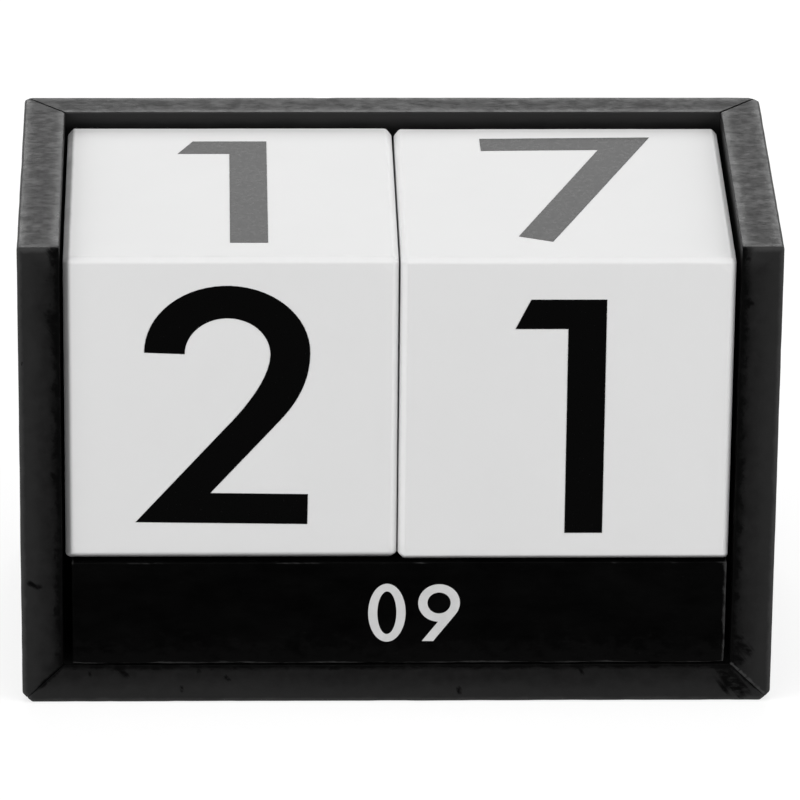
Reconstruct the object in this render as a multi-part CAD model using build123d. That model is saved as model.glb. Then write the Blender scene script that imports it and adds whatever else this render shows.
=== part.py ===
from build123d import *
import os

# A perpetual desk calendar. A black wooden frame, open at the front and at the top, holds
# three square month bars side by side on its base, and two date cubes on top of the bars.
# The cubes lift out and the bars slide out at the front, to be turned to another face.
# Millimetres, +Z up. The origin is under the middle of the frame, and the front faces -Y.

# Driving dimensions
cube_side = 50.0
bar_side = 17.2
bar_count = 3
board = 6.4
reveal = 2.0  # how far the frame stands above the cubes

# Play around the loose pieces
cube_play_left = 0.4
cube_play_between = 0.25
cube_play_right = 0.65
bar_play_left = 1.3
bar_play_right = 0.8
bar_play = 0.05  # behind each bar
slip = 0.05  # under each bar and each cube, so that they run freely on what carries them
bar_setback = 0.15  # the front bar's face behind the frame's front
left_cube_setback = 0.8
right_cube_setback = 0.5

# Edges
cube_bevel = 0.9
bar_edge = 0.4
bar_end_edge = 0.35
bottom_corner = 1.5  # flat sanded along the three bottom corners
rear_corner = 1.0
rim_edge = 0.5  # outer edges of the front and top rims
mouth_edge = 0.3  # inner edges of the same rims

# The frame's outside and inside, worked out from what it holds
inside_width = cube_play_left + cube_side + cube_play_between + cube_side + cube_play_right
inside_depth = bar_count * (bar_side + bar_play) + bar_setback
frame_width = inside_width + 2 * board
frame_depth = inside_depth + board
bar_floor = board + slip
cube_floor = bar_floor + bar_side + slip
frame_height = cube_floor + cube_side + reveal
left, right = -frame_width / 2, frame_width / 2
front, rear = -frame_depth / 2, frame_depth / 2


def placed_box(x, y, z, length, depth, height):
    """A box whose left, front, bottom corner is at x, y, z."""
    return Pos(x, y, z) * Box(length, depth, height, align=(Align.MIN, Align.MIN, Align.MIN))


def edges_at(part, **place):
    """The edges that lie wholly at the given x, y or z."""

    def lies_there(edge):
        box = edge.bounding_box()
        ends = [(getattr(box.min, axis.upper()), getattr(box.max, axis.upper())) for axis in place]
        return all(
            abs(low - value) < 0.001 and abs(high - value) < 0.001
            for (low, high), value in zip(ends, place.values())
        )

    return part.edges().filter_by(lies_there)


def beside_the_room(edge):
    middle = edge.center()
    within_sides = abs(middle.X) < right - board + 0.01
    return within_sides and middle.Y < rear - board + 0.01 and middle.Z > board - 0.01


def carcass():
    """The glued-up frame in one piece: sanded outside, hollowed, with its rims eased."""
    body = placed_box(left, front, 0, frame_width, frame_depth, frame_height)
    bottom_edges = edges_at(body, x=left, z=0) + edges_at(body, x=right, z=0) + edges_at(body, y=rear, z=0)
    body = chamfer(bottom_edges, bottom_corner)
    upright_edges = edges_at(body, x=left, y=rear) + edges_at(body, x=right, y=rear)
    body = fillet(upright_edges, rear_corner)
    body = fillet(edges_at(body, y=front) + edges_at(body, z=frame_height), rim_edge)

    room = placed_box(left + board, front - 1, board, inside_width, inside_depth + 1, frame_height)
    body -= room
    rims = edges_at(body, y=front) + edges_at(body, z=frame_height)
    return chamfer(rims.filter_by(beside_the_room), mouth_edge)


# Planes of the 45 degree mitres. Each one's upper side is on the second board of its pair.
left_mitre = Plane(origin=(left, 0, 0), z_dir=(-1, 0, 1))  # base, then left side
right_mitre = Plane(origin=(right, 0, 0), z_dir=(1, 0, 1))  # base, then right side
rear_mitre = Plane(origin=(0, rear, 0), z_dir=(0, 1, 1))  # base, then back
left_rear_mitre = Plane(origin=(left, rear, 0), z_dir=(1, 1, 0))  # left side, then back
right_rear_mitre = Plane(origin=(right, rear, 0), z_dir=(-1, 1, 0))  # right side, then back


def mitred(frame, cuts):
    """One board of the frame: what is left between its mitres."""
    piece = frame
    for plane, side in cuts:
        piece = split(piece, bisect_by=plane, keep=side)
    return piece.solid()


def board_pieces():
    frame = carcass()
    above, below = Keep.TOP, Keep.BOTTOM
    return {
        "base_board": mitred(frame, [(left_mitre, below), (right_mitre, below), (rear_mitre, below)]),
        "left_side_board": mitred(frame, [(left_mitre, above), (left_rear_mitre, below)]),
        "right_side_board": mitred(frame, [(right_mitre, above), (right_rear_mitre, below)]),
        "back_board": mitred(frame, [(rear_mitre, above), (left_rear_mitre, above), (right_rear_mitre, above)]),
    }


def date_cube(x, setback):
    """A date cube that stands on the bars, with a flat bevel along every edge."""
    cube = placed_box(x, front + setback, cube_floor, cube_side, cube_side, cube_side)
    return chamfer(cube.edges(), cube_bevel)


def month_bar(number):
    """A month bar, counted from the front. Its long edges are rounded and its ends bevelled."""
    y = front + bar_setback + number * (bar_side + bar_play)
    x = left + board + bar_play_left
    length = inside_width - bar_play_left - bar_play_right
    bar = placed_box(x, y, bar_floor, length, bar_side, bar_side)
    bar = fillet(bar.edges().filter_by(Axis.X), bar_edge)
    return chamfer(edges_at(bar, x=x) + edges_at(bar, x=x + length), bar_end_edge)


pieces = board_pieces()
left_cube_x = left + board + cube_play_left
pieces["left_date_cube"] = date_cube(left_cube_x, left_cube_setback)
pieces["right_date_cube"] = date_cube(left_cube_x + cube_side + cube_play_between, right_cube_setback)
for number, name in enumerate(["front_month_bar", "middle_month_bar", "rear_month_bar"]):
    pieces[name] = month_bar(number)

os.makedirs("parts", exist_ok=True)
for name, piece in pieces.items():
    export_step(piece, f"parts/{name}.step")
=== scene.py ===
import math

import bmesh
import bpy
import numpy as np
from mathutils import Matrix, Vector, noise


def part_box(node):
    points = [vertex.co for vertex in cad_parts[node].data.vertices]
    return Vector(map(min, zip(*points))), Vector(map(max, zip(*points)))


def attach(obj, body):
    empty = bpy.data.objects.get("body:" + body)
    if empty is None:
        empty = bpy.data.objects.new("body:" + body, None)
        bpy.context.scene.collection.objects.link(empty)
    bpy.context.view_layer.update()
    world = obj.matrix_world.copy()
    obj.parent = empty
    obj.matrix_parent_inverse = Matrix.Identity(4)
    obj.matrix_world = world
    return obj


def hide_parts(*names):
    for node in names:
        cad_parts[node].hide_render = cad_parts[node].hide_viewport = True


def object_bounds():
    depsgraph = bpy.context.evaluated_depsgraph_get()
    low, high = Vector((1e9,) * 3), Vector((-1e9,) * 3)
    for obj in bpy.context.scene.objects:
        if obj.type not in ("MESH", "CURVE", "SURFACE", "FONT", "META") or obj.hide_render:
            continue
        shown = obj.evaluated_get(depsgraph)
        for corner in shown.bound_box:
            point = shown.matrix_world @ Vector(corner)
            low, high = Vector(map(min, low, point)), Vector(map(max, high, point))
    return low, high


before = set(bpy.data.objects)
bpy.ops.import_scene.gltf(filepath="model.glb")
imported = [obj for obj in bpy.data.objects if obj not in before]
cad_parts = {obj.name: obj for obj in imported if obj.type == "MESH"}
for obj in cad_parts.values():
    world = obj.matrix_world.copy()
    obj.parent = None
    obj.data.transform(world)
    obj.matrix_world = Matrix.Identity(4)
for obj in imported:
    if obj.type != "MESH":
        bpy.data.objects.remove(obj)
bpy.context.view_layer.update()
scene = bpy.context.scene
mm = 0.001  # the looks of the pieces give their lengths in millimetres
touching = 1e-6  # places nearer to each other than this are the same, in metres
farAway = 99.0  # stands for no edge anywhere near, in millimetres


# Places read from the frame

def jointBox(nodes):
    boxes = [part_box(node) for node in nodes]
    low = Vector([min(box[0][axis] for box in boxes) for axis in range(3)])
    high = Vector([max(box[1][axis] for box in boxes) for axis in range(3)])
    return low, high


boardNodes = ["base_board", "left_side_board", "right_side_board", "back_board"]
cubeNodes = {"left": "left_date_cube", "right": "right_date_cube"}
barNodes = ["front_month_bar", "middle_month_bar", "rear_month_bar"]
carcassLow, carcassHigh = jointBox(boardNodes)
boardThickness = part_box("base_board")[1].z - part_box("base_board")[0].z
print("frame read, boards", round(boardThickness / mm, 2), "mm thick")


# Small mesh tools

sawGap = 1e-7  # a saw cut takes corners nearer than this as its own
weldGap = 2e-6  # corners nearer than this are welded
softening = {"angle": 18, "segments": 3}  # of the corners that easing the edges leaves


def newBlock(low, high):
    bm = bmesh.new()
    bm.edges.layers.float.new("bevel_weight_edge")
    bm.faces.layers.int.new("kind")
    bmesh.ops.create_cube(bm, size=1.0)
    size = high - low
    middle = (high + low) / 2
    for vert in bm.verts:
        vert.co = Vector([middle[i] + vert.co[i] * size[i] for i in range(3)])
    return bm


def sawOff(bm, point, away):
    # cuts through a point, drops the side that away points to and returns the cut face
    parts = bm.verts[:] + bm.edges[:] + bm.faces[:]
    cut = bmesh.ops.bisect_plane(
        bm, geom=parts, dist=sawGap, plane_co=point, plane_no=away, clear_outer=True
    )
    rim = [part for part in cut["geom_cut"] if isinstance(part, bmesh.types.BMEdge)]
    openRim = [edge for edge in rim if edge.is_boundary]
    if not openRim:
        return []
    return bmesh.ops.edgeloop_fill(bm, edges=openRim)["faces"]


def gridCut(bm, spacing):
    # divides every flat into an even grid, so that it can carry small unevenness
    bm.verts.ensure_lookup_table()
    spots = np.array([vert.co for vert in bm.verts])
    for axis in range(3):
        low, high = spots[:, axis].min(), spots[:, axis].max()
        count = max(2, round((high - low) / spacing))
        normal = Vector([1.0 if i == axis else 0.0 for i in range(3)])
        for step in range(1, count):
            place = normal * (low + (high - low) * step / count)
            parts = bm.verts[:] + bm.edges[:] + bm.faces[:]
            bmesh.ops.bisect_plane(bm, geom=parts, dist=touching, plane_co=place, plane_no=normal)


def divideMesh(piece, spacing, refine=None):
    shaped = bmesh.new()
    shaped.from_mesh(piece.data)
    bmesh.ops.remove_doubles(shaped, verts=shaped.verts[:], dist=weldGap)
    bmesh.ops.dissolve_degenerate(shaped, dist=weldGap, edges=shaped.edges[:])
    bmesh.ops.recalc_face_normals(shaped, faces=shaped.faces[:])
    gridCut(shaped, spacing)
    if refine:
        refine(shaped)
    shaped.to_mesh(piece.data)
    shaped.free()


def newPiece(name, bm):
    mesh = bpy.data.meshes.new(name)
    bm.to_mesh(mesh)
    bm.free()
    piece = bpy.data.objects.new(name, mesh)
    scene.collection.objects.link(piece)
    return piece


def roundedPiece(name, bm, widths, look):
    # takes each edge off by its own width, then softens what that leaves
    widest = max(widths.values())
    layer = bm.edges.layers.float["bevel_weight_edge"]
    for edge, width in widths.items():
        edge[layer] = width / widest
    piece = newPiece(name, bm)
    plain = piece.data
    bevel = piece.modifiers.new("arrises", "BEVEL")
    bevel.limit_method = "WEIGHT"
    bevel.width = widest * mm
    bevel.segments = look["segments"]
    bevel.profile = 0.5
    bevel.use_clamp_overlap = True
    if look["soften"]:
        softer = piece.modifiers.new("softer", "BEVEL")
        softer.limit_method = "ANGLE"
        softer.angle_limit = math.radians(softening["angle"])
        softer.width = look["soften"] * mm
        softer.segments = softening["segments"]
        softer.profile = 0.5
    bpy.context.view_layer.update()
    shaped = bpy.data.meshes.new_from_object(piece.evaluated_get(bpy.context.evaluated_depsgraph_get()))
    piece.modifiers.clear()
    piece.data = shaped
    shaped.name = name
    bpy.data.meshes.remove(plain)
    return piece


edgeRunGap = 137.0  # keeps the patches along one edge apart from the next edge's, in millimetres


def nearestEdge(points, segments):
    # distance from each point to the nearest straight edge, and how far along it, in millimetres
    best = np.full(len(points), farAway)
    run = np.zeros(len(points))
    for index, (start, end) in enumerate(segments):
        a = np.array(start)
        span = np.array(end) - a
        share = np.clip((points - a) @ span / max(span @ span, 1e-12), 0, 1)
        gap = np.linalg.norm(points - (a + share[:, None] * span), axis=1) / mm
        nearer = gap < best
        best[nearer] = gap[nearer]
        run[nearer] = share[nearer] * np.linalg.norm(span) / mm + index * edgeRunGap
    return best, run


def storeMask(mesh, name, values):
    mask = mesh.attributes.new(name, "FLOAT", "POINT")
    mask.data.foreach_set("value", np.asarray(values, np.float32))


def storeEdges(mesh, name, points, segments, reach=1.0):
    gap, run = nearestEdge(points, segments)
    storeMask(mesh, name, gap / reach)
    storeMask(mesh, name + "Run", run)


# lengths of the surface's waves in millimetres, and how the waves of an arris are put together
waves = {"sway": 14, "ripple": 3.5, "chatter": 6, "fineChatter": 2.2, "fineShare": 0.7, "lift": 0.1}
seedSteps = (3.1, 7.7, 1.3)


def wave(point, length, seed):
    return noise.noise(point / (length * mm) + Vector([seed * step for step in seedSteps]))


def unevenSurface(piece, look, held, seed):
    # the sanded, painted surface: sunk a hair under the true size, wavy along its arrises
    mesh = piece.data
    spots = [vert.co.copy() for vert in mesh.vertices]
    normals = [vert.normal.copy() for vert in mesh.vertices]
    arris = np.zeros(len(spots), np.float32)
    mesh.attributes["arris"].data.foreach_get("value", arris)
    for index, spot in enumerate(spots):
        hold = held(spot)
        edge = max(0.0, 1.0 - arris[index] / look["arrisReach"])
        sink = look["sink"] + look["sway"] * (0.5 + 0.5 * wave(spot, waves["sway"], seed))
        sink += look["ripple"] * (0.5 + 0.5 * wave(spot, waves["ripple"], seed + 1))
        chatter = wave(spot, waves["chatter"], seed + 2)
        chatter += waves["fineShare"] * wave(spot, waves["fineChatter"], seed + 3)
        sink += edge * look["arrisWave"] * max(0.0, chatter + waves["lift"])
        mesh.vertices[index].co = spot - normals[index] * sink * mm * hold
    mesh.update()


def finishShading(piece, material):
    for polygon in piece.data.polygons:
        polygon.use_smooth = True
    weighted = piece.modifiers.new("facing", "WEIGHTED_NORMAL")
    weighted.weight = 80
    weighted.keep_sharp = True
    piece.data.materials.clear()
    piece.data.materials.append(material)


# Shader node tools

nodeGrid = {"columns": 8, "across": 200, "down": 320}  # how the nodes of a tree are laid out


def addNode(tree, kind, **settings):
    node = tree.nodes.new(kind)
    row, column = divmod(len(tree.nodes) - 1, nodeGrid["columns"])
    node.location = (column * nodeGrid["across"], -row * nodeGrid["down"])
    for name, value in settings.items():
        setattr(node, name, value)
    return node


def plug(tree, source, target):
    tree.links.new(source, target)


def setOrPlug(tree, value, socket):
    if isinstance(value, (int, float, tuple)):
        socket.default_value = value
    else:
        plug(tree, value, socket)


def newGroup(name, inputs, outputs):
    tree = bpy.data.node_groups.new(name, "ShaderNodeTree")
    for label, value in inputs.items():
        socket = tree.interface.new_socket(name=label, in_out="INPUT", socket_type="NodeSocketFloat")
        socket.default_value = value
    for label in outputs:
        tree.interface.new_socket(name=label, in_out="OUTPUT", socket_type="NodeSocketFloat")
    return tree, addNode(tree, "NodeGroupInput"), addNode(tree, "NodeGroupOutput")


def placeGroup(tree, group, values):
    node = addNode(tree, "ShaderNodeGroup", node_tree=group)
    for label, value in values.items():
        node.inputs[label].default_value = value
    return node


def maths(tree, operation, a, b):
    node = addNode(tree, "ShaderNodeMath", operation=operation)
    setOrPlug(tree, a, node.inputs[0])
    setOrPlug(tree, b, node.inputs[1])
    return node.outputs[0]


def mixColour(tree, factor, low, high):
    node = addNode(tree, "ShaderNodeMix", data_type="RGBA")
    setOrPlug(tree, factor, node.inputs[0])
    setOrPlug(tree, low, node.inputs[6])
    setOrPlug(tree, high, node.inputs[7])
    return node.outputs[2]


def grey(value):
    return (value, value, value, 1.0)


def spread(tree, value, low, high, fromLow=0.3, fromHigh=0.7):
    # turns values between fromLow and fromHigh into ones between low and high
    node = addNode(tree, "ShaderNodeMapRange")
    node.inputs["From Min"].default_value = fromLow
    node.inputs["From Max"].default_value = fromHigh
    node.inputs["To Min"].default_value = low
    node.inputs["To Max"].default_value = high
    plug(tree, value, node.inputs["Value"])
    return node.outputs[0]


# Effects that several finishes share

brushwork = {
    "sidewaysFrom": 0.7,  # how squarely a face looks to the side before its strokes turn upwards
    "mottle": {"Detail": 4.0, "Roughness": 0.6},
    "streaks": {"Detail": 4.0, "Roughness": 0.75},
    "mottleHeight": 0.6,
}


def makePaintTexture():
    # brushed paint over fine wood: a soft mottle, short streaks and their height
    tree, inlet, outlet = newGroup(
        "brushedPaint",
        {"Stretch": 1.0, "Mottle Scale": 400.0, "Streak Scale": 900.0},
        ["Mottle", "Streaks", "Height"],
    )
    spot = addNode(tree, "ShaderNodeTexCoord")
    geometry = addNode(tree, "ShaderNodeNewGeometry")
    facing = addNode(tree, "ShaderNodeSeparateXYZ")
    plug(tree, geometry.outputs["True Normal"], facing.inputs[0])
    sidewaysShare = maths(tree, "ABSOLUTE", facing.outputs[0], 0.0)
    sideways = maths(tree, "GREATER_THAN", sidewaysShare, brushwork["sidewaysFrom"])

    def brushedAlong(stretch):
        # brush strokes run across the object's width, and upwards on the faces at its sides
        less = maths(tree, "SUBTRACT", stretch, 1.0)
        upwards = maths(tree, "MULTIPLY", less, sideways)
        across = maths(tree, "SUBTRACT", less, upwards)
        shares = addNode(tree, "ShaderNodeCombineXYZ")
        plug(tree, maths(tree, "ADD", across, 1.0), shares.inputs[0])
        shares.inputs[1].default_value = 1.0
        plug(tree, maths(tree, "ADD", upwards, 1.0), shares.inputs[2])
        stretched = addNode(tree, "ShaderNodeVectorMath", operation="MULTIPLY")
        plug(tree, spot.outputs["Object"], stretched.inputs[0])
        plug(tree, shares.outputs[0], stretched.inputs[1])
        return stretched.outputs[0]

    def layer(source, scaleName, look):
        texture = addNode(tree, "ShaderNodeTexNoise")
        for label, value in look.items():
            texture.inputs[label].default_value = value
        plug(tree, source, texture.inputs["Vector"])
        plug(tree, inlet.outputs[scaleName], texture.inputs["Scale"])
        return texture.outputs[0]

    stretch = inlet.outputs["Stretch"]
    # the mottle is drawn out half as much as the streaks
    halfStretch = maths(tree, "ADD", maths(tree, "MULTIPLY", stretch, 2.0), 0.1)
    halfStretch = maths(tree, "MINIMUM", halfStretch, 1.0)
    mottle = layer(brushedAlong(halfStretch), "Mottle Scale", brushwork["mottle"])
    streaks = layer(brushedAlong(stretch), "Streak Scale", brushwork["streaks"])
    height = maths(tree, "ADD", maths(tree, "MULTIPLY", mottle, brushwork["mottleHeight"]), streaks)
    plug(tree, mottle, outlet.inputs["Mottle"])
    plug(tree, streaks, outlet.inputs["Streaks"])
    plug(tree, height, outlet.inputs["Height"])
    return tree


bandShape = {"patchDetail": 6.0, "patchRoughness": 0.75, "contrast": 3.0, "fullFrom": 0.8, "farthest": 2.5}


def makeEdgeBand():
    # a band along an edge, from the stored distance to it, broken up along its run
    tree, inlet, outlet = newGroup(
        "edgeBand",
        {"Distance": farAway, "Run": 0.0, "Width": 1.0, "Breakup": 0.5, "Breakup Length": 1.0, "Across": 0.3},
        ["Band"],
    )
    distance, width = inlet.outputs["Distance"], inlet.outputs["Width"]
    spot = addNode(tree, "ShaderNodeCombineXYZ")
    plug(tree, maths(tree, "DIVIDE", inlet.outputs["Run"], inlet.outputs["Breakup Length"]), spot.inputs[0])
    plug(tree, maths(tree, "MULTIPLY", distance, inlet.outputs["Across"]), spot.inputs[1])
    patches = addNode(tree, "ShaderNodeTexNoise", noise_dimensions="2D")
    patches.inputs["Scale"].default_value = 1.0
    patches.inputs["Detail"].default_value = bandShape["patchDetail"]
    patches.inputs["Roughness"].default_value = bandShape["patchRoughness"]
    plug(tree, spot.outputs[0], patches.inputs["Vector"])
    near = maths(tree, "SUBTRACT", 1.0, maths(tree, "DIVIDE", distance, width))
    patchy = maths(tree, "MULTIPLY", maths(tree, "SUBTRACT", patches.outputs[0], 0.5), bandShape["contrast"])
    shifted = maths(tree, "ADD", near, maths(tree, "MULTIPLY", patchy, inlet.outputs["Breakup"]))
    band = addNode(tree, "ShaderNodeMapRange", interpolation_type="SMOOTHSTEP")
    band.inputs["From Min"].default_value = 0.0
    band.inputs["From Max"].default_value = bandShape["fullFrom"]
    plug(tree, shifted, band.inputs["Value"])
    inside = maths(tree, "LESS_THAN", distance, maths(tree, "MULTIPLY", width, bandShape["farthest"]))
    plug(tree, maths(tree, "MULTIPLY", band.outputs[0], inside), outlet.inputs["Band"])
    return tree


brushedPaint = makePaintTexture()
edgeBand = makeEdgeBand()


def startPaint(name, look):
    # what every finish here has: brushed paint in two tones, its gloss and its bump
    material = bpy.data.materials.new(name)
    material.use_nodes = True
    tree = material.node_tree
    tree.nodes.clear()
    surface = addNode(tree, "ShaderNodeBsdfPrincipled")
    plug(tree, surface.outputs[0], addNode(tree, "ShaderNodeOutputMaterial").inputs[0])
    surface.inputs["Specular IOR Level"].default_value = look["specular"]
    paint = placeGroup(tree, brushedPaint, look["brushed"])
    bump = addNode(tree, "ShaderNodeBump")
    bump.inputs["Strength"].default_value = look["bump"]
    bump.inputs["Distance"].default_value = look["bumpHeight"] * mm
    plug(tree, paint.outputs["Height"], bump.inputs["Height"])
    plug(tree, bump.outputs[0], surface.inputs["Normal"])
    mottle = spread(tree, paint.outputs["Mottle"], 0.0, 1.0)
    tone = mixColour(tree, mottle, grey(look["dark"]), grey(look["light"]))
    return material, tree, surface, paint, tone


# A band lies along a stored edge. Its look gives the edge's name, the band's width in millimetres, how
# much and over what length along and across it breaks up, its tone, and the share that covers the paint.

def bandFor(tree, look):
    values = {"Width": look["width"], "Breakup": look["breakup"]}
    values.update({"Breakup Length": look["length"], "Across": look["across"]})
    band = placeGroup(tree, edgeBand, values)
    for name, socket in ((look["edge"], "Distance"), (look["edge"] + "Run", "Run")):
        stored = addNode(tree, "ShaderNodeAttribute", attribute_name=name)
        plug(tree, stored.outputs["Fac"], band.inputs[socket])
    return band.outputs["Band"]


def coat(tree, tone, look, share=None):
    # lays a band over the paint, by its own share or by one that changes over the surface
    laid = maths(tree, "MULTIPLY", bandFor(tree, look), look["share"] if share is None else share)
    return mixColour(tree, laid, tone, grey(look["tone"]))


def makePaint(name, look, bands):
    # a finish with bands laid over its paint, and a gloss that follows the brush strokes
    material, tree, surface, paint, tone = startPaint(name, look)
    for band in bands:
        tone = coat(tree, tone, band)
    plug(tree, tone, surface.inputs["Base Color"])
    plug(tree, spread(tree, paint.outputs["Streaks"], *look["roughness"]), surface.inputs["Roughness"])
    return material


# The frame: four mitred boards

boardLook = {
    "edge": 0.5,
    "mouthEdge": 0.3,
    "segments": 3,
    "soften": 0.0,
    "cornerFlat": 1.5,
    "rearFlat": {"left": 1.0, "right": 1.5},
    "grid": 1.4,
    "rimCuts": 3,
    "sink": 0.02,
    "sway": 0.04,
    "ripple": 0.02,
    "arrisWave": 0.08,
    "arrisReach": 1.1,
    "mitreHold": 0.6,  # how far from a mitre the surface keeps its true place
}
# how wide the groove of each mitre is, and how far its dark line has opened
mitreLooks = {
    "left": {"groove": 0.36, "open": 2.4},
    "right": {"groove": 0.12, "open": 1.6},
    "rear": {"groove": 0.16, "open": 0.8},
    "leftRear": {"groove": 0.2, "open": 1.0},
    "rightRear": {"groove": 0.26, "open": 1.4},
}
mitreFilling = {"reach": 2.6, "closes": 4.0}  # of the paint in the mitres at the frame's outer corners
mouthDarkSpread = {"base_board": 0.6, "back_board": 0.6}  # how far the darkening near the mouth spreads, 1 elsewhere
# a painted highlight line beside the right mitre, as on a ridge of paint: how far beside it, and the height
# that it starts from
ridgeHighlightPlace = {"aside": 0.35, "low": 1.4}
rimDepth = 0.2  # the front and top rims reach this far in
rimFlat = 0.01  # faces nearer than this to the front are on its rim
cornerReach = 2  # ends of mitres nearer than this to the frame's outer corners are at them
markRunShare = 1.3  # how fast the patches of a mark change across the frame, against up it
# small bruises and runs in the paint of the front rim: x, z, x, z and size
paintMarks = [
    (-52.2, 65.0, -51.2, 60.5, 1.0),
    (-51.8, 75.2, -51.0, 73.4, 1.0),
    (-56.4, 57.0, -56.5, 56.6, 0.24),
    (-51.9, 38.4, -51.0, 37.0, 0.7),
    (-55.6, 20.3, -54.2, 19.6, 0.6),
    (-42.4, 5.9, -41.2, 4.7, 0.7),
    (-46.7, 5.3, -46.6, 4.7, 0.35),
    (-32.8, 2.7, -32.7, 2.0, 0.35),
    (-30.2, 5.5, -30.0, 5.0, 0.4),
    (-26.1, 4.3, -25.6, 3.9, 0.4),
    (9.4, 2.3, 9.6, 1.6, 0.5),
    (28.0, 5.4, 28.3, 4.7, 0.4),
    (50.9, 66.8, 52.4, 66.6, 0.5),
    (51.0, 51.0, 51.6, 50.2, 0.6),
    (51.5, 11.0, 52.3, 10.7, 0.6),
    (52.0, 9.6, 53.3, 8.6, 1.2),
    (51.4, 7.6, 52.4, 6.9, 0.9),
    (50.2, 4.6, 52.6, 1.9, 1.7),
    (49.6, 5.9, 50.4, 2.6, 1.5),
]
framePaint = {
    "dark": 0.007125,
    "light": 0.011875,
    "brushed": {"Mottle Scale": 520.0, "Streak Scale": 1500.0},
    "rimStretch": 0.48,
    "broadStretch": 0.09,
    "rimThinning": 0.6,
    "broadThinning": 0.15,
    "roughness": (0.36, 0.57),
    "grain": {"mottle": 0.8, "from": (0.7, 1.1)},
    "polish": 0.14,
    "specular": 0.0265,
    "bump": 0.25,
    "bumpHeight": 0.06,
    "markStreaks": {"to": (0.25, 1.0), "from": (0.36, 0.52)},
}
# laid over the paint in this order, and the two shines only change its gloss
frameBands = {
    "thinned": dict(edge="arris", width=5.0, breakup=0.25, length=22.0, across=0.1, tone=0.026),
    # a painted highlight along the arrises, where their rounding catches light
    "edgeHighlight": dict(edge="arris", width=1.0, breakup=0.3, length=3.0, across=0.5, tone=0.046, share=0.8),
    # painted light along the rims' inner top edges, where the walls below them catch light from the front and
    # the white cubes
    "lip": dict(edge="lip", width=3.0, breakup=0.12, length=6.0, across=0.5, tone=0.03, share=0.85),
    # darker near the mouth, in a band and in blotches
    "mouthDarkening": dict(edge="mouth", width=2.0, breakup=0.35, length=5.0, across=0.3, tone=0.0018, share=0.85),
    "mouthBlotches": dict(edge="mouth", width=1.3, breakup=1.3, length=2.2, across=0.6, tone=0.0004, share=1.0),
    "marked": dict(edge="mark", width=1.1, breakup=0.7, length=0.9, across=0.0, tone=0.0004),
    "joint": dict(edge="mitre", width=0.24, breakup=0.7, length=1.3, across=0.5, tone=0.0004, share=1.0),
    # a painted highlight beside the right mitre
    "ridgeHighlight": dict(edge="ridgeHighlight", width=0.32, breakup=0.9, length=1.1, across=0.5, tone=0.046, share=0.85),
    "outerShine": dict(edge="arris", width=1.9, breakup=0.2, length=3.0, across=0.5),
    "innerShine": dict(edge="lip", width=1.7, breakup=0.2, length=3.0, across=0.5),
}


def makeFramePaint():
    material, tree, surface, paint, tone = startPaint("framePaint", framePaint)
    # short strokes on the narrow rims, long ones on the broad faces
    stored = addNode(tree, "ShaderNodeAttribute", attribute_name="broad")
    broad = maths(tree, "GREATER_THAN", stored.outputs["Fac"], 0.5)
    stretch = spread(tree, broad, framePaint["rimStretch"], framePaint["broadStretch"], 0.0, 1.0)
    plug(tree, stretch, paint.inputs["Stretch"])
    mottle, streaks = paint.outputs["Mottle"], paint.outputs["Streaks"]
    # the paint thins towards the arrises, where it is rubbed
    thinning = spread(tree, broad, framePaint["rimThinning"], framePaint["broadThinning"], 0.0, 1.0)
    tone = coat(tree, tone, frameBands["thinned"], thinning)
    # painted highlights along the arrises and painted light along the lip, and darker near the mouth
    for name in ("edgeHighlight", "lip", "mouthDarkening", "mouthBlotches"):
        tone = coat(tree, tone, frameBands[name])
    # dark where the paint is bruised or has run and in the mitres, and a painted highlight on the ridge
    # beside one
    markStreaks = framePaint["markStreaks"]
    broken = spread(tree, streaks, *markStreaks["to"], *markStreaks["from"])
    tone = coat(tree, tone, frameBands["marked"], broken)
    for name in ("joint", "ridgeHighlight"):
        tone = coat(tree, tone, frameBands[name])
    plug(tree, tone, surface.inputs["Base Color"])
    grain = maths(tree, "ADD", maths(tree, "MULTIPLY", mottle, framePaint["grain"]["mottle"]), streaks)
    rough = spread(tree, grain, *framePaint["roughness"], *framePaint["grain"]["from"])
    # hands polish the rims
    outerShine, innerShine = (bandFor(tree, frameBands[name]) for name in ("outerShine", "innerShine"))
    shine = maths(tree, "MAXIMUM", outerShine, innerShine)
    polish = maths(tree, "MULTIPLY", shine, framePaint["polish"])
    plug(tree, maths(tree, "SUBTRACT", rough, polish), surface.inputs["Roughness"])
    return material


faceKinds = ["inside", "rim", "outside", "flat"] + list(mitreLooks)
squarely = 0.9  # a face looks a way if its normal points that way by more than this


def faceKind(face):
    # the frame's front and top faces are rims, and its other outer faces are outsides
    middle, normal = face.calc_center_median(), face.normal
    rims = [(middle.y - carcassLow.y, -normal.y), (middle.z - carcassHigh.z, normal.z)]
    outsides = [
        (middle.x - carcassLow.x, -normal.x),
        (middle.x - carcassHigh.x, normal.x),
        (middle.y - carcassHigh.y, normal.y),
        (middle.z - carcassLow.z, -normal.z),
    ]
    for kind, places in (("rim", rims), ("outside", outsides)):
        if any(abs(gap) < touching and outwards > squarely for gap, outwards in places):
            return kind
    return "inside"


# each mitre's plane, as a point on it and the side of the second board of its pair
left, right, rear = carcassLow.x, carcassHigh.x, carcassHigh.y
mitrePlanes = {
    "left": (Vector((left, 0, 0)), Vector((-1, 0, 1))),
    "right": (Vector((right, 0, 0)), Vector((1, 0, 1))),
    "rear": (Vector((0, rear, 0)), Vector((0, 1, 1))),
    "leftRear": (Vector((left, rear, 0)), Vector((1, 1, 0))),
    "rightRear": (Vector((right, rear, 0)), Vector((-1, 1, 0))),
}
boardCuts = {
    "base_board": [("left", 1), ("right", 1), ("rear", 1)],
    "left_side_board": [("left", -1), ("leftRear", 1)],
    "right_side_board": [("right", -1), ("rightRear", 1)],
    "back_board": [("rear", -1), ("leftRear", -1), ("rightRear", -1)],
}


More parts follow.
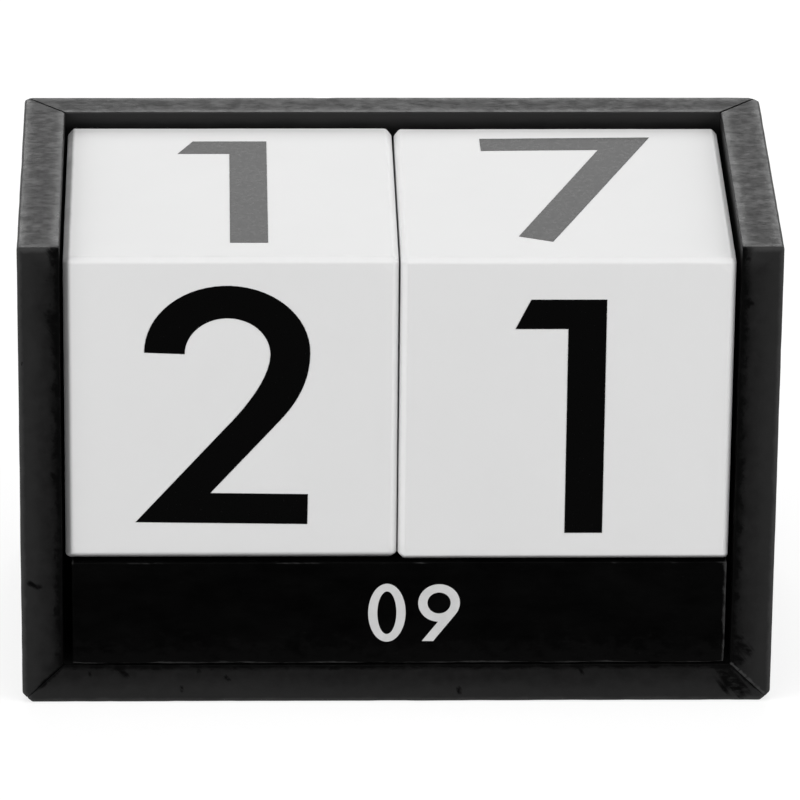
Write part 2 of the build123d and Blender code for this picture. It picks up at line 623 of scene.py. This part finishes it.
def boardBlock(node):
    low, high = carcassLow.copy(), carcassHigh.copy()
    if node == "base_board":
        high.z = low.z + boardThickness
    elif node == "left_side_board":
        high.x = low.x + boardThickness
    elif node == "right_side_board":
        low.x = high.x - boardThickness
    else:
        low.y = high.y - boardThickness
    return newBlock(low, high)


def sawBoard(node):
    # a board cut to its mitres, with the frame's outer corners sanded flat
    bm = boardBlock(node)
    kindLayer = bm.faces.layers.int["kind"]
    for face in bm.faces:
        face[kindLayer] = faceKinds.index(faceKind(face))
    flat = boardLook["cornerFlat"] * mm
    leftFlat, rightFlat = (boardLook["rearFlat"][side] * mm for side in ("left", "right"))
    cuts = [
        (joint, mitrePlanes[joint][0], mitrePlanes[joint][1] * side) for joint, side in boardCuts[node]
    ]
    cuts += [
        ("flat", Vector((left + flat, 0, 0)), Vector((-1, 0, -1))),
        ("flat", Vector((right - flat, 0, 0)), Vector((1, 0, -1))),
        ("flat", Vector((0, rear - flat, 0)), Vector((0, 1, -1))),
        ("flat", Vector((left + leftFlat, rear, 0)), Vector((-1, 1, 0))),
        ("flat", Vector((right - rightFlat, rear, 0)), Vector((1, 1, 0))),
    ]
    for kind, point, away in cuts:
        for face in sawOff(bm, point, away):
            face[kindLayer] = faceKinds.index(kind)
    bmesh.ops.recalc_face_normals(bm, faces=bm.faces[:])
    return bm


def sortEdges(bm, node):
    # how far each edge is eased, and which edges are arrises, mouth, lip and mitres
    kindLayer = bm.faces.layers.int["kind"]
    widths = {}
    lines = {"arris": [], "mouth": [], "lip": []}
    mitres = {joint: [] for joint, side in boardCuts[node]}
    for edge in bm.edges:
        pair = {faceKinds[face[kindLayer]] for face in edge.link_faces}
        ends = (edge.verts[0].co.copy(), edge.verts[1].co.copy())
        joint = next((kind for kind in pair if kind in mitres), None)
        widths[edge] = 0.0
        if joint and pair & {"rim", "outside", "flat"}:
            widths[edge] = mitreLooks[joint]["groove"]
            mitres[joint].append(ends)
        elif not joint and pair == {"inside", "rim"}:
            widths[edge] = boardLook["mouthEdge"]
            atFront = max(end.y for end in ends) < carcassLow.y + touching
            lines["mouth" if atFront else "lip"].append(ends)
        elif not joint and pair == {"flat", "outside"}:
            widths[edge] = boardLook["mouthEdge"]
            lines["arris"].append(ends)
        elif not joint and "rim" in pair:
            widths[edge] = boardLook["edge"]
            lines["arris"].append(ends)
    return widths, lines, mitres


def refineRim(bm):
    # the front rim carries small marks, so its grid is finer
    bmesh.ops.triangulate(bm, faces=[face for face in bm.faces if len(face.verts) > 4])
    rim = [face for face in bm.faces if face.calc_center_median().y < carcassLow.y + rimFlat * mm]
    rimEdges = list(dict.fromkeys(edge for face in rim for edge in face.edges))
    bmesh.ops.subdivide_edges(bm, edges=rimEdges, cuts=boardLook["rimCuts"], use_grid_fill=True)


def outerCorner(point):
    near = cornerReach * mm
    atSide = min(abs(point.x - left), abs(point.x - right)) < near
    return atSide and (point.z < carcassLow.z + near or point.y > rear - near)


def markMitres(mesh, spots, mitres):
    gap = np.full(len(spots), farAway)
    run = np.zeros(len(spots))
    for joint, segments in mitres.items():
        away, along = nearestEdge(spots, segments)
        # paint fills each mitre towards the frame's outer corners
        corners = [(end, end) for ends in segments for end in ends if outerCorner(end)]
        filled = 0.0
        if corners:
            filled = np.clip(1.0 - nearestEdge(spots, corners)[0] / mitreFilling["reach"], 0, 1)
        away = away / mitreLooks[joint]["open"] * (1.0 + mitreFilling["closes"] * filled)
        nearer = away < gap
        gap[nearer], run[nearer] = away[nearer], along[nearer]
    storeMask(mesh, "mitre", gap)
    storeMask(mesh, "mitreRun", run)


def markBoard(mesh, node, lines, mitres):
    # stores how far each point is from the board's edges, mitres and paint marks
    spots = np.array([vert.co for vert in mesh.vertices])
    storeEdges(mesh, "arris", spots, lines["arris"])
    storeEdges(mesh, "mouth", spots, lines["mouth"], mouthDarkSpread.get(node, 1.0))
    storeEdges(mesh, "lip", spots, lines["lip"])
    markMitres(mesh, spots, mitres)
    front = carcassLow.y
    gap = np.full(len(spots), farAway)
    for x1, z1, x2, z2, size in paintMarks:
        ends = (Vector((x1 * mm, front, z1 * mm)), Vector((x2 * mm, front, z2 * mm)))
        gap = np.minimum(gap, nearestEdge(spots, [ends])[0] / size)
    storeMask(mesh, "mark", gap)
    storeMask(mesh, "markRun", (spots[:, 0] * markRunShare + spots[:, 2]) / mm)
    atRim = (spots[:, 1] < front + rimDepth * mm) | (spots[:, 2] > carcassHigh.z - rimDepth * mm)
    storeMask(mesh, "broad", np.where(atRim, 0.0, 1.0))
    # the line of the painted highlight beside the right mitre
    aside, high, low = ridgeHighlightPlace["aside"] * mm, boardThickness, ridgeHighlightPlace["low"] * mm
    ridgeHighlight = (Vector((right - high + aside, front, high)), Vector((right - low + aside, front, low)))
    storeEdges(mesh, "ridgeHighlight", spots, [ridgeHighlight] if node == "right_side_board" else [])


def makeBoard(node, seed):
    bm = sawBoard(node)
    widths, lines, mitres = sortEdges(bm, node)
    piece = roundedPiece(node + "Piece", bm, widths, boardLook)
    divideMesh(piece, boardLook["grid"] * mm, refineRim)
    markBoard(piece.data, node, lines, mitres)
    cuts = [(mitrePlanes[joint][0], mitrePlanes[joint][1].normalized()) for joint in mitres]

    def held(spot):
        nearest = min(abs((spot - point).dot(normal)) for point, normal in cuts)
        return min(1.0, nearest / (boardLook["mitreHold"] * mm))

    unevenSurface(piece, boardLook, held, seed)
    finishShading(piece, framePaintMaterial)
    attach(piece, "frame")
    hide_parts(node)


framePaintMaterial = makeFramePaint()
for seed, node in enumerate(boardNodes):
    makeBoard(node, seed + 1)
print("boards made")


# Blocks with rounded edges: the date cubes and the month bars

cubeLook = {
    "edge": 0.9,
    "ownEdges": {
        "left": {"frontTop": 0.75, "frontUnder": 1.25, "topLeft": 0.9, "underLeft": 0.7, "backTop": 0.4},
        "right": {
            "frontTop": 0.7,
            "frontLeft": 1.1,
            "frontRight": 0.7,
            "topRight": 0.75,
            "underRight": 0.45,
            "backTop": 0.4,
        },
    },
    "segments": 1,
    "soften": 0.24,
    "grid": 2.5,
    "sink": 0.015,
    "sway": 0.02,
    "ripple": 0.0,
    "arrisWave": 0.06,
    "arrisReach": 1.2,
    "seed": 11,
    # how far the cubes' facing sides lean together, over what width, and its share at the top
    "lean": {"most": 0.09, "reach": 6, "atTop": 0.35},
    # edges beside the frame that get the foot's painted shade too, and how strongly: smaller is darker
    "shadedBeside": {"left_date_cube": {"frontLeft": 0.78, "topLeft": 0.8}},
}
cubePaint = {
    "dark": 0.735,
    "light": 0.745,
    "brushed": {"Stretch": 0.5, "Mottle Scale": 60.0, "Streak Scale": 500.0},
    "roughness": (0.35, 0.47),
    "specular": 0.006,
    "bump": 0.08,
    "bumpHeight": 0.03,
}
# painted highlights along the edges, and painted shade on the lower ones where they stand on the black bars
cubeBands = [
    dict(edge="arris", width=1.3, breakup=0.15, length=5.0, across=0.5, tone=0.8, share=1.0),
    dict(edge="foot", width=1.1, breakup=0.1, length=6.0, across=0.4, tone=0.06, share=0.75),
]
barLook = {
    "edge": 0.4,
    "endEdge": 0.35,
    "segments": 3,
    "soften": 0.0,
    "grid": 1.6,
    "sink": 0.02,
    "sway": 0.025,
    "ripple": 0.01,
    "arrisWave": 0.18,
    "arrisReach": 0.9,
    "seed": 21,
    # how far the painted highlight reaches from each edge, against the rest
    "edgeHighlightReach": {"frontLeft": 0.1, "frontRight": 1.5, "frontTop": 0.55, "frontUnder": 1.2},
}
barPaint = {
    "dark": 0.0,
    "light": 0.0015,
    "brushed": {"Stretch": 0.2, "Mottle Scale": 260.0, "Streak Scale": 1500.0},
    "roughness": (0.28, 0.46),
    "specular": 0.013,
    "bump": 0.3,
    "bumpHeight": 0.035,
}
# dust along the foot, and a painted highlight along the edges
barBands = [
    dict(edge="foot", width=5.0, breakup=1.0, length=2.4, across=0.5, tone=0.003, share=0.6),
    dict(edge="edgeHighlight", width=0.36, breakup=1.0, length=8.0, across=0.6, tone=0.036, share=1.0),
]
# how far in under a block the band along its foot reaches, painted shade on the cubes and dust on the bars,
# and how fast it fades beyond that
underside = {"inset": 1.4, "fade": 0.5}
edgeHighlightRunShares = {"y": 0.6, "z": 1.7}  # how fast the patches of the painted edge highlight change, against along x
blockRunGaps = {"edgeHighlight": 31, "foot": 57}  # keep the patches of one block apart from the next one's


def edgeName(edge, low, high):
    # such as frontTop or topLeft, from the two faces that meet there
    middle = (edge.verts[0].co + edge.verts[1].co) / 2
    gaps = {
        "front": middle.y - low.y,
        "back": middle.y - high.y,
        "top": middle.z - high.z,
        "under": middle.z - low.z,
        "left": middle.x - low.x,
        "right": middle.x - high.x,
    }
    words = [word for word, gap in gaps.items() if abs(gap) < touching]
    return words[0] + words[1].capitalize()


def markBlock(mesh, node, look, lines, low, high, seed):
    # stores how far each point is from the block's edges, its highlighted edges and its foot
    spots = np.array([vert.co for vert in mesh.vertices])
    storeEdges(mesh, "arris", spots, list(lines.values()))
    if "edgeHighlightReach" in look:
        reached = [
            nearestEdge(spots, [ends])[0] / look["edgeHighlightReach"].get(edge, 1.0) for edge, ends in lines.items()
        ]
        storeMask(mesh, "edgeHighlight", np.min(reached, axis=0))
        run = spots[:, 0] + spots[:, 2] * edgeHighlightRunShares["z"] + spots[:, 1] * edgeHighlightRunShares["y"]
        storeMask(mesh, "edgeHighlightRun", run / mm + seed * blockRunGaps["edgeHighlight"])
    # height above the underside, and how far in from the sides it is on the underside itself
    lowest, highest = np.array(low)[:2], np.array(high)[:2]
    inset = np.min(np.minimum(spots[:, :2] - lowest, highest - spots[:, :2]), axis=1)
    inset = np.clip(inset - underside["inset"] * mm, 0, None)
    foot = (spots[:, 2] - low.z + underside["fade"] * inset) / mm
    # edges beside the frame take the foot's painted shade as well
    for edge, closeness in look.get("shadedBeside", {}).get(node, {}).items():
        foot = np.minimum(foot, nearestEdge(spots, [lines[edge]])[0] * closeness)
    storeMask(mesh, "foot", foot)
    storeMask(mesh, "footRun", (spots[:, 0] + spots[:, 1]) / mm + seed * blockRunGaps["foot"])


def makeRoundedBlock(name, node, look, edgeWidth, material, seed):
    low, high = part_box(node)
    bm = newBlock(low, high)
    names = {edge: edgeName(edge, low, high) for edge in bm.edges}
    widths = {edge: edgeWidth(edgeLabel) for edge, edgeLabel in names.items()}
    lines = {edgeLabel: tuple(vert.co.copy() for vert in edge.verts) for edge, edgeLabel in names.items()}
    piece = roundedPiece(name, bm, widths, look)
    divideMesh(piece, look["grid"] * mm)
    markBlock(piece.data, node, look, lines, low, high, seed)
    unevenSurface(piece, look, lambda spot: 1.0, seed)
    finishShading(piece, material)
    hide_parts(node)
    return piece


# The numbers' outlines, drawn for a height of about 39 mm and centred on x = 0

def arc(x, y, rx, ry, start, end, step=6.0):
    count = max(2, math.ceil(abs(end - start) / step))
    angles = [math.radians(start + (end - start) * i / count) for i in range(count + 1)]
    return [(x + rx * math.cos(a), y + ry * math.sin(a)) for a in angles]


def ring(x, y, rx, ry):
    return arc(x, y, rx, ry, 0.0, 360.0)[:-1]


def sweep(start, startPull, endPull, end, steps=10):
    # a cubic curve between two points
    points = []
    for i in range(steps + 1):
        t = i / steps
        shares = ((1 - t) ** 3, 3 * t * (1 - t) ** 2, 3 * t * t * (1 - t), t ** 3)
        corners = (start, startPull, endPull, end)
        points.append(tuple(sum(s * c[axis] for s, c in zip(shares, corners)) for axis in range(2)))
    return points


def turned(outline, height):
    return [(-x, height - y) for x, y in outline]


digitHeight = 39.2


def digitOutlines():
    sixBody = [(10.4, 39.2), (3.4, 39.2)] + arc(0, 12.9, 12.9, 12.9, 143.5, 447.9)
    sixHole = ring(0, 12.9, 7.2, 7.3)
    two = (
        arc(0.35, 28.3, 12.4, 10.9, 181.0, 0.0)
        + sweep((12.75, 28.3), (12.75, 24.0), (11.3, 20.5), (8.0, 16.7))[1:]
        + [(-1.9, 5.0), (12.8, 5.0), (12.8, 0), (-13.1, 0)]
        + sweep((0.3, 15.9), (3.3, 19.3), (6.8, 24.2), (6.8, 28.0))
        + arc(0.4, 28.0, 6.4, 5.9, 0.0, 180.5)[1:]
    )
    three = (
        arc(0, 28.6, 10.4, 10.4, 183.0, -42.0)
        + arc(0, 11.6, 12.4, 11.8, 54.0, -180.0)
        + arc(0, 11.6, 6.4, 6.7, 180.0, 450.0)
        + [(-3.2, 18.3), (-3.2, 23.3)]
        + arc(0, 28.6, 4.8, 5.3, -90.0, 183.0)
    )
    five = (
        [(-7.4, 38.8), (11.2, 38.8), (11.2, 33.8), (-3.0, 33.8)]
        + arc(-0.6, 12.6, 12.9, 12.6, 107.0, -170.0)
        + arc(-0.6, 12.6, 7.0, 7.4, -170.0, 128.0)
        + [(-10.0, 18.5)]
    )
    eight = arc(0, 29.5, 9.6, 9.8, -42.0, 222.0) + arc(0, 11.3, 12.2, 11.7, 125.0, 415.0)
    return {
        "0": [ring(0, 19.6, 11.6, 20.0), ring(0, 19.6, 5.9, 14.8)],
        "1": [[(-4.5, 38.6), (6.8, 38.6), (6.8, 0), (1.1, 0), (1.1, 33.8), (-6.8, 33.8)]],
        "2": [two],
        "3": [three],
        "4": [
            [(9.0, 39.0), (9.0, 12.4), (13.2, 12.4), (13.2, 7.4), (9.0, 7.4), (9.0, 0), (3.2, 0), (3.2, 7.4)]
            + [(-13.6, 7.4), (-13.6, 11.0), (4.2, 39.0)],
            [(3.2, 12.4), (3.2, 28.1), (-6.8, 12.4)],
        ],
        "5": [five],
        "6": [sixBody, sixHole],
        "7": [[(-13.1, 39.5), (13.1, 39.5), (-4.1, 0), (-9.1, 2.1), (4.9, 34.8), (-13.1, 34.8)]],
        "8": [eight, ring(0, 29.4, 4.4, 5.0), ring(0, 11.4, 6.4, 6.9)],
        "9": [turned(sixBody, digitHeight), turned(sixHole, digitHeight)],
    }


digits = digitOutlines()
# each face's outward normal, and the numbers' reading and upright directions on it
faceAxes = {
    "front": (Vector((0, -1, 0)), Vector((1, 0, 0)), Vector((0, 0, 1))),
    "top": (Vector((0, 0, 1)), Vector((1, 0, 0)), Vector((0, 1, 0))),
    "back": (Vector((0, 1, 0)), Vector((1, 0, 0)), Vector((0, 0, -1))),
    "under": (Vector((0, 0, -1)), Vector((1, 0, 0)), Vector((0, -1, 0))),
    "left": (Vector((-1, 0, 0)), Vector((0, -1, 0)), Vector((0, 0, 1))),
    "right": (Vector((1, 0, 0)), Vector((0, 1, 0)), Vector((0, 0, 1))),
}


def printNumber(bm, text, look, box, face, shift, turn, proud):
    # one thin printed number on a face, closed all round
    normal, across, upright = faceAxes[face]
    low, high = box
    middle = (low + high) / 2
    reach = Vector([(high[i] - low[i]) / 2 for i in range(3)])
    surface = middle + Vector([normal[i] * reach[i] for i in range(3)])
    scale = look["height"] / digitHeight * mm
    spin = Matrix.Rotation(math.radians(turn), 2)
    for place, character in enumerate(text):
        offset = (place - (len(text) - 1) / 2) * look["advance"]
        loops = []
        for outline in digits[character]:
            points = []
            for x, y in outline:
                flat = spin @ Vector((x * scale + offset * mm, (y - digitHeight / 2) * scale))
                flat += Vector(shift) * mm
                points.append(surface + across * flat.x + upright * flat.y)
            loops.append(points)
        fillSlab(bm, loops, normal, look["depth"] * mm, proud * mm)


def fillSlab(bm, loops, normal, depth, proud):
    # a flat shape with holes, filled, given its thickness and closed round its rims
    sheet = bmesh.new()
    for points in loops:
        verts = [sheet.verts.new(point) for point in points]
        for i in range(len(verts)):
            sheet.edges.new((verts[i - 1], verts[i]))
    bmesh.ops.triangle_fill(sheet, use_beauty=True, edges=sheet.edges[:], normal=normal)
    sheet.verts.index_update()
    outer = [bm.verts.new(vert.co + normal * proud) for vert in sheet.verts]
    inner = [bm.verts.new(vert.co - normal * depth) for vert in sheet.verts]
    for face in sheet.faces:
        order = [vert.index for vert in face.verts]
        if face.normal.dot(normal) < 0:
            order.reverse()
        bm.faces.new([outer[i] for i in order])
        bm.faces.new([inner[i] for i in reversed(order)])
    for edge in sheet.edges:
        if len(edge.link_faces) == 1:
            a, b = (vert.index for vert in edge.verts)
            bm.faces.new([outer[a], outer[b], inner[b], inner[a]])
    sheet.free()


def numberPiece(name, bm, body, material):
    bmesh.ops.recalc_face_normals(bm, faces=bm.faces[:])
    piece = newPiece(name, bm)
    piece.data.materials.append(material)
    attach(piece, body)
    return piece


# The date cubes

dateInk = {
    "dark": 0.00038,
    "light": 0.00042,
    "brushed": {"Mottle Scale": 500.0, "Streak Scale": 1400.0},
    "roughness": (0.25, 0.33),
    "specular": 0.027,
    "bump": 0.05,
    "bumpHeight": 0.01,
}
dateNumbers = {"height": 39.2, "advance": 0.0, "depth": 0.12, "proud": 0.02, "hiddenProud": -0.004}
# each face's number, how far it is off the face's middle and how far it is turned
cubeFaces = {
    "left": {
        "front": ("2", (-1.0, 0.9), -0.8),
        "top": ("1", (-1.2, 0.3), 0.0),
        "back": ("3", (0.3, 0.2), 0.5),
        "under": ("4", (-0.4, -0.3), 0.0),
        "left": ("0", (0.2, 0.4), 0.0),
        "right": ("5", (-0.3, 0.1), -0.4),
    },
    "right": {
        "front": ("1", (-1.0, -0.7), 0.0),
        "top": ("7", (1.6, 0.9), 1.1),
        "back": ("0", (0.2, 0.3), 0.0),
        "under": ("2", (-0.3, 0.0), 0.3),
        "left": ("6", (0.4, -0.2), 0.0),
        "right": ("8", (-0.2, 0.3), 0.4),
    },
}
cubePaintMaterial = makePaint("cubePaint", cubePaint, cubeBands)
dateInkMaterial = makePaint("dateInk", dateInk, [])


def leanTowards(piece, plane, direction):
    # the painted cubes aren't quite square: the facing sides come closest low down at the front
    lean = cubeLook["lean"]
    low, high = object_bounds()
    for vert in piece.data.vertices:
        near = max(0.0, 1.0 - abs(vert.co.x - plane) / (lean["reach"] * mm))
        forward = (high.y - vert.co.y) / (high.y - low.y)
        down = (high.z - vert.co.z) / (high.z - low.z)
        moved = direction * lean["most"] * mm * near * forward
        vert.co.x += moved * (lean["atTop"] + (1 - lean["atTop"]) * down)
    piece.data.update()


def makeCube(side, seed):
    node = cubeNodes[side]
    own = cubeLook["ownEdges"][side]
    cube = makeRoundedBlock(
        side + "_cubeBlock",
        node,
        cubeLook,
        lambda name: own.get(name, cubeLook["edge"]),
        cubePaintMaterial,
        seed,
    )
    facing, direction = (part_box(node)[1].x, 1) if side == "left" else (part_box(node)[0].x, -1)
    leanTowards(cube, facing, direction)
    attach(cube, side + "_cube")
    numbers = bmesh.new()
    for face, (text, shift, turn) in cubeFaces[side].items():
        proud = dateNumbers["hiddenProud"] if face == "under" else dateNumbers["proud"]
        printNumber(numbers, text, dateNumbers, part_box(node), face, shift, turn, proud)
    printed = numberPiece(side + "_cubeNumbers", numbers, side + "_cube", dateInkMaterial)
    leanTowards(printed, facing, direction)


for seed, side in enumerate(cubeNodes):
    makeCube(side, seed + cubeLook["seed"])
print("cubes made")


# The month bars

monthInk = {
    "dark": 0.57,
    "light": 0.63,
    "brushed": {"Mottle Scale": 500.0, "Streak Scale": 1400.0},
    "roughness": (0.52, 0.6),
    "specular": 0.3,
    "bump": 0.05,
    "bumpHeight": 0.01,
}
monthNumbers = {
    "height": 9.6,
    "advance": 7.9,
    "shift": (2.1, 0.1),
    "depth": 0.1,
    "proud": 0.015,
    "hiddenProud": -0.004,
}
firstMonth = {"front_month_bar": 9, "middle_month_bar": 5, "rear_month_bar": 1}
barPaintMaterial = makePaint("barPaint", barPaint, barBands)
monthInkMaterial = makePaint("monthInk", monthInk, [])


def barEdgeWidth(name):
    return barLook["endEdge" if "Left" in name or "Right" in name else "edge"]


def makeBar(node, seed):
    place = node.split("_")[0]
    bar = makeRoundedBlock(place + "_barBlock", node, barLook, barEdgeWidth, barPaintMaterial, seed)
    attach(bar, place + "_bar")
    numbers = bmesh.new()
    for turns, face in enumerate(("front", "top", "back", "under")):
        text = f"{firstMonth[node] + turns:02d}"
        proud = monthNumbers["proud" if face in ("front", "back") else "hiddenProud"]
        printNumber(numbers, text, monthNumbers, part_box(node), face, monthNumbers["shift"], 0.0, proud)
    numberPiece(place + "_barNumbers", numbers, place + "_bar", monthInkMaterial)


for seed, node in enumerate(barNodes):
    makeBar(node, seed + barLook["seed"])
print("bars made")


# The room: a pale floor, a white surround and soft lamps

room = {
    "floorTone": 0.8,
    "seenTone": 0.3,  # the part of the floor's tone that still shows the object's shadow
    "floorLift": 0.74,  # how white the floor is where the shadow shows
    "shadowReach": (0.22, 0.5),  # the floor turns plain white between these distances, in metres
    "surround": 0.15,
    "floorSize": 4.0,
}
# places and sizes in metres, and power in watts
lamps = {
    "left": {"place": (-0.774, -0.361, 0.32), "aim": (0, 0, 0.04), "size": (0.5, 0.6), "power": 4.78},
    "right": {"place": (0.774, -0.361, 0.32), "aim": (0, 0, 0.04), "size": (0.5, 0.6), "power": 4.85},
    "overhead": {"place": (0.0, -0.19, 0.92), "aim": (0, 0, 0.04), "size": (0.6, 0.5), "power": 3.32},
    "behind": {"place": (0.0, 0.75, 0.41), "aim": (0, 0, 0.07), "size": (0.6, 0.28), "power": 4.31},
}


def whiteWhereSeen(tree):
    # 1 for rays that come from the camera, a gloss or a clear surface
    path = addNode(tree, "ShaderNodeLightPath")
    seen = maths(tree, "MAXIMUM", path.outputs["Is Camera Ray"], path.outputs["Is Glossy Ray"])
    return maths(tree, "MAXIMUM", seen, path.outputs["Is Transmission Ray"])


def makeFloorFinish():
    material = bpy.data.materials.new("paleFloor")
    material.use_nodes = True
    tree = material.node_tree
    tree.nodes.clear()
    seen = whiteWhereSeen(tree)
    # what is seen of the floor turns plain white away from the object and its shadow
    spot = addNode(tree, "ShaderNodeTexCoord")
    reach = addNode(tree, "ShaderNodeVectorMath", operation="LENGTH")
    plug(tree, spot.outputs["Object"], reach.inputs[0])
    beyond = spread(tree, reach.outputs["Value"], 0.0, 1.0, *room["shadowReach"])
    seenTone = mixColour(tree, beyond, grey(room["seenTone"]), grey(0.0))
    matt = addNode(tree, "ShaderNodeBsdfDiffuse")
    plug(tree, mixColour(tree, seen, grey(room["floorTone"]), seenTone), matt.inputs["Color"])
    lift = maths(tree, "ADD", maths(tree, "MULTIPLY", beyond, 1.0 - room["floorLift"]), room["floorLift"])
    glow = addNode(tree, "ShaderNodeEmission")
    glow.inputs["Color"].default_value = grey(1.0)
    plug(tree, maths(tree, "MULTIPLY", seen, lift), glow.inputs["Strength"])
    both = addNode(tree, "ShaderNodeAddShader")
    plug(tree, matt.outputs[0], both.inputs[0])
    plug(tree, glow.outputs[0], both.inputs[1])
    plug(tree, both.outputs[0], addNode(tree, "ShaderNodeOutputMaterial").inputs[0])
    return material


def makeFloor():
    half = room["floorSize"] / 2
    mesh = bpy.data.meshes.new("floor")
    corners = [(-half, -half, 0), (half, -half, 0), (half, half, 0), (-half, half, 0)]
    mesh.from_pydata(corners, [], [(0, 1, 2, 3)])
    mesh.materials.append(makeFloorFinish())
    floor = bpy.data.objects.new("floor", mesh)
    scene.collection.objects.link(floor)


def makeSurround():
    world = bpy.data.worlds.new("surround")
    scene.world = world
    world.use_nodes = True
    tree = world.node_tree
    tree.nodes.clear()
    sky = addNode(tree, "ShaderNodeBackground")
    sky.inputs["Color"].default_value = grey(1.0)
    whiter = maths(tree, "MULTIPLY", whiteWhereSeen(tree), 1.0 - room["surround"])
    plug(tree, maths(tree, "ADD", whiter, room["surround"]), sky.inputs["Strength"])
    plug(tree, sky.outputs[0], addNode(tree, "ShaderNodeOutputWorld").inputs[0])


def makeLamp(name, look):
    light = bpy.data.lights.new(name, "AREA")
    light.shape = "RECTANGLE"
    light.size, light.size_y = look["size"]
    light.energy = look["power"]
    lamp = bpy.data.objects.new(name, light)
    scene.collection.objects.link(lamp)
    lamp.location = look["place"]
    lamp.rotation_mode = "QUATERNION"
    lamp.rotation_quaternion = (Vector(look["aim"]) - Vector(look["place"])).to_track_quat("-Z", "Y")
    lamp.visible_camera = False


makeFloor()
makeSurround()
for name, look in lamps.items():
    makeLamp(name, look)


# The camera, where the photographer stood

view = {
    "place": (-28.3, -1019.7, 525.1),  # from the middle of the frame's front, at the floor
    "yaw": 1.593,
    "down": 24.936,
    "roll": 0.580,
    "lens": 338.3,
    "sensor": 36.0,
}


def makeCamera():
    yaw, down, roll = (math.radians(view[name]) for name in ("yaw", "down", "roll"))
    ahead = Vector((math.sin(yaw) * math.cos(down), math.cos(yaw) * math.cos(down), -math.sin(down)))
    levelRight = Vector((math.cos(yaw), -math.sin(yaw), 0))
    levelUp = levelRight.cross(ahead)
    cameraRight = levelRight * math.cos(roll) + levelUp * math.sin(roll)
    cameraUp = levelUp * math.cos(roll) - levelRight * math.sin(roll)
    lens = bpy.data.cameras.new("camera")
    lens.lens = view["lens"]
    lens.sensor_width = view["sensor"]
    lens.clip_start, lens.clip_end = 0.05, 20.0
    camera = bpy.data.objects.new("camera", lens)
    scene.collection.objects.link(camera)
    camera.rotation_mode = "QUATERNION"
    camera.rotation_quaternion = Matrix((cameraRight, cameraUp, -ahead)).transposed().to_quaternion()
    camera.location = Vector(view["place"]) * mm + Vector((0, carcassLow.y, 0))
    scene.camera = camera


makeCamera()
scene.view_settings.view_transform = "Standard"
print("room, lamps and camera made")
